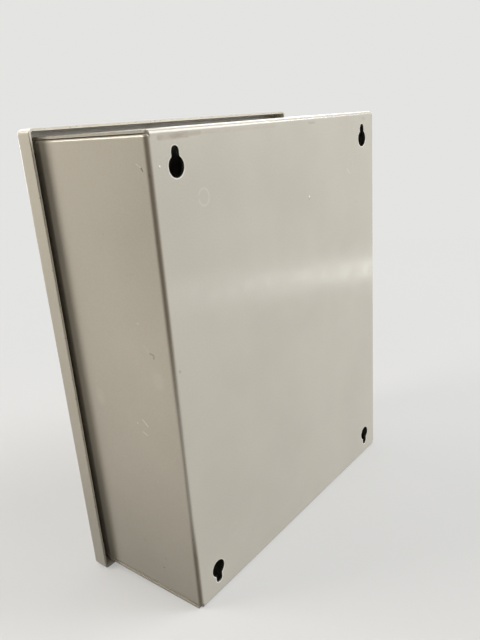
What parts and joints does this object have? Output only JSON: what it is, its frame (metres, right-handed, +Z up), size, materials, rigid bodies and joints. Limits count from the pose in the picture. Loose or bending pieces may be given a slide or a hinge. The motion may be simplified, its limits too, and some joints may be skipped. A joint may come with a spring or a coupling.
{
  "type": "electrical enclosure",
  "caption": "Wall-mounted folded-steel electrical enclosure with an overlapping hinged door, a quarter-turn latch, an inner mounting panel and keyholes in its back.",
  "frame": {"origin": "centre of the wall face, in the middle of the four keyholes", "axes": "+Z up, -Y out through the door, +Y into the wall, the hinge at -X and the latch at +X"},
  "size_m": [0.2681, 0.1081, 0.3136],
  "materials": {
    "grey_paint": "semi-gloss",
    "white_paint": "semi-gloss",
    "seal_rubber": "matte",
    "latch_chrome": "polished",
    "zinc_plate": "satin"
  },
  "bodies": {
    "case": {"body_shell": "grey_paint", "mounting_panel": "white_paint", "panel_studs": "zinc_plate", "panel_washers": "zinc_plate", "panel_nuts": "zinc_plate", "ground_stud": "zinc_plate", "ground_washer": "zinc_plate", "ground_nut": "zinc_plate", "hinge_body_leaf": "grey_paint", "hinge_pin": "zinc_plate", "hinge_body_rivets": "grey_paint"},
    "door": {"door_panel": "grey_paint", "door_seal": "seal_rubber", "hinge_door_leaf": "grey_paint", "hinge_door_rivets": "grey_paint", "door_ground_stud": "zinc_plate", "door_ground_washer": "zinc_plate", "door_ground_nut": "zinc_plate", "latch_housing": "latch_chrome", "latch_bezel_seal": "seal_rubber", "latch_nut": "zinc_plate"},
    "latch": {"latch_plug": "latch_chrome", "latch_cam": "zinc_plate", "latch_cam_washer": "zinc_plate", "latch_cam_nut": "zinc_plate"}
  },
  "joints": [
    {"name": "door_swing", "type": "hinge", "parent": "case", "child": "door", "pos_m": [-0.12945, -0.0874, 0], "axis": [0, 0, -1], "range_deg": [0, 135]},
    {"name": "latch_turn", "type": "hinge", "parent": "door", "child": "latch", "pos_m": [0.098, -0.1031, 0], "axis": [0, -1, 0], "range_deg": [0, 90]}
  ]
}
